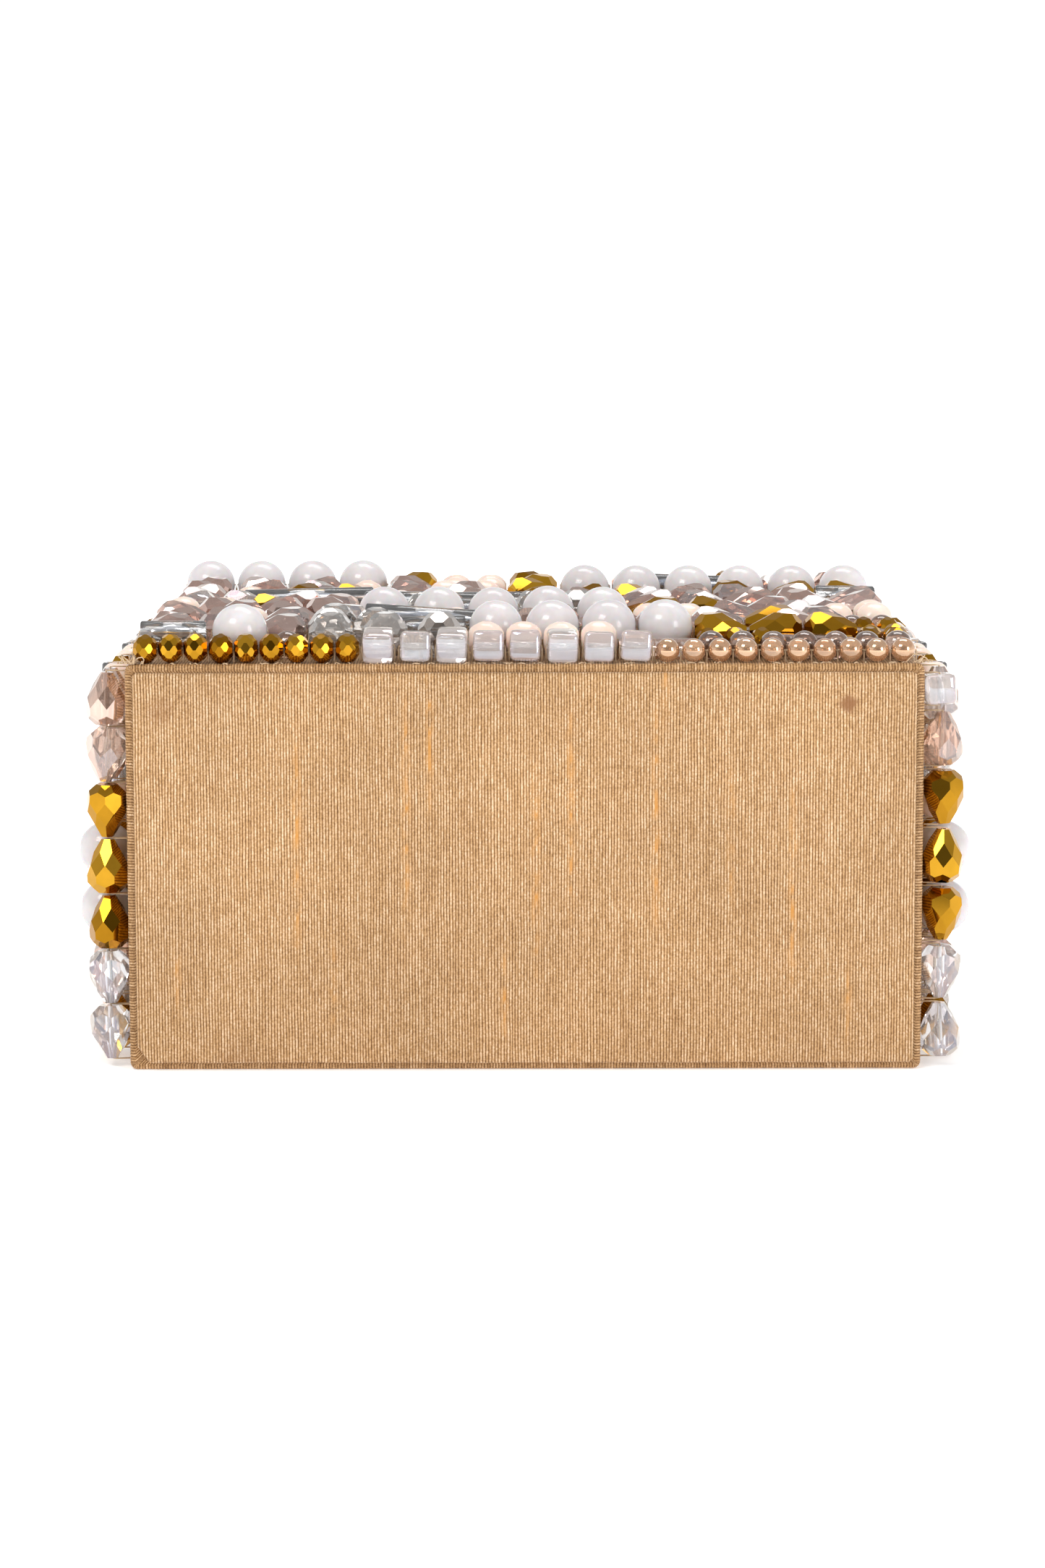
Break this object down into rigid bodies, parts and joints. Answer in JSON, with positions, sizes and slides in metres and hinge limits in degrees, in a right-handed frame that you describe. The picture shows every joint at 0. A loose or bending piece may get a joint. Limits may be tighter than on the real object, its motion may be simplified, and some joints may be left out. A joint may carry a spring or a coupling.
{
  "type": "beaded evening bag",
  "caption": "Rigid box evening bag in ribbed silk, its front and sides covered in glass beads, with a hinged lid that closes on magnets and a folding bail handle.",
  "frame": {"origin": "centre of the back face's width and height, on the plane that the bag rests on when it lies on its back", "axes": "+X across the bag's width, +Y from the base towards the lid, +Z from the back face to the beaded front face"},
  "size_m": [0.1882, 0.1529, 0.0966],
  "materials": {
    "silk": "ribbed silk with slubs, soft sheen",
    "silk_hem": "ribbed silk turned under, its ribs running across the edge",
    "satin": "smooth satin",
    "board": "grey board, matt",
    "card": "card, matt",
    "magnet": "nickel-plated",
    "hinge_brass": "rolled brass, satin",
    "gilt": "polished gold-tone plate",
    "screw_steel": "plated steel",
    "gold_glass": "faceted glass with an opaque metallic gold coat",
    "crystal_glass": "clear faceted glass with a faint rainbow coat",
    "amber_glass": "translucent amber glass with a lustre coat",
    "smoke_glass": "clear round glass with a brown-lined hole",
    "pearl_glass": "milky white glass, glossy",
    "peach_glass": "opaque peach glass, softly faceted",
    "smoke_crystal": "smoky clear faceted glass",
    "champagne_glass": "champagne faceted glass with a rainbow lustre",
    "silver_glass": "silver-lined glass tube"
  },
  "bodies": {
    "bag": {"base_silk": "silk", "base_card": "card", "base_hem": "silk_hem", "base_board": "board", "front_board": "board", "back_board": "board", "left_board": "board", "right_board": "board", "front_silk": "silk", "back_silk": "silk", "left_silk": "silk", "right_silk": "silk", "rim_binding": "silk_hem", "back_rim_binding": "silk_hem", "lining": "satin", "slip_pocket": "satin", "pocket_binding": "silk_hem", "wall_magnets": "magnet", "hinge_body_leaf": "hinge_brass", "hinge_pin": "hinge_brass", "hinge_body_rivets": "hinge_brass", "front_gold_rondelles": "gold_glass", "front_crystal_cubes": "crystal_glass", "front_amber_rounds": "amber_glass", "front_smoke_rounds": "smoke_glass", "front_pearls": "pearl_glass", "front_peach_beads": "peach_glass", "front_smoke_crystals": "smoke_crystal", "front_champagne_drops": "champagne_glass", "front_gold_drops": "gold_glass", "front_clear_drops": "crystal_glass", "front_silver_bugles": "silver_glass", "front_baguettes": "champagne_glass", "side_crystal_cube": "crystal_glass", "side_smoke_rounds": "smoke_glass", "side_pearls": "pearl_glass", "side_peach_beads": "peach_glass", "side_champagne_drops": "champagne_glass", "side_gold_drops": "gold_glass", "side_clear_drops": "crystal_glass", "side_silver_bugles": "silver_glass"},
    "lid": {"lid_board": "board", "lid_silk": "silk", "lid_lining": "satin", "lid_pad": "satin", "lid_magnets": "magnet", "hinge_lid_leaf": "hinge_brass", "hinge_lid_rivets": "hinge_brass", "handle_lugs": "gilt", "lug_screws": "screw_steel"},
    "handle": {"handle_bail": "gilt"}
  },
  "joints": [
    {"name": "lid_hinge", "type": "hinge", "parent": "bag", "child": "lid", "pos_m": [0, 0.0709, 0.0051], "axis": [-1, 0, 0], "range_deg": [0, 95]},
    {"name": "handle_pivot", "type": "hinge", "parent": "lid", "child": "handle", "pos_m": [0, 0.0773, 0.04598], "axis": [1, 0, 0], "range_deg": [0, 180]}
  ]
}
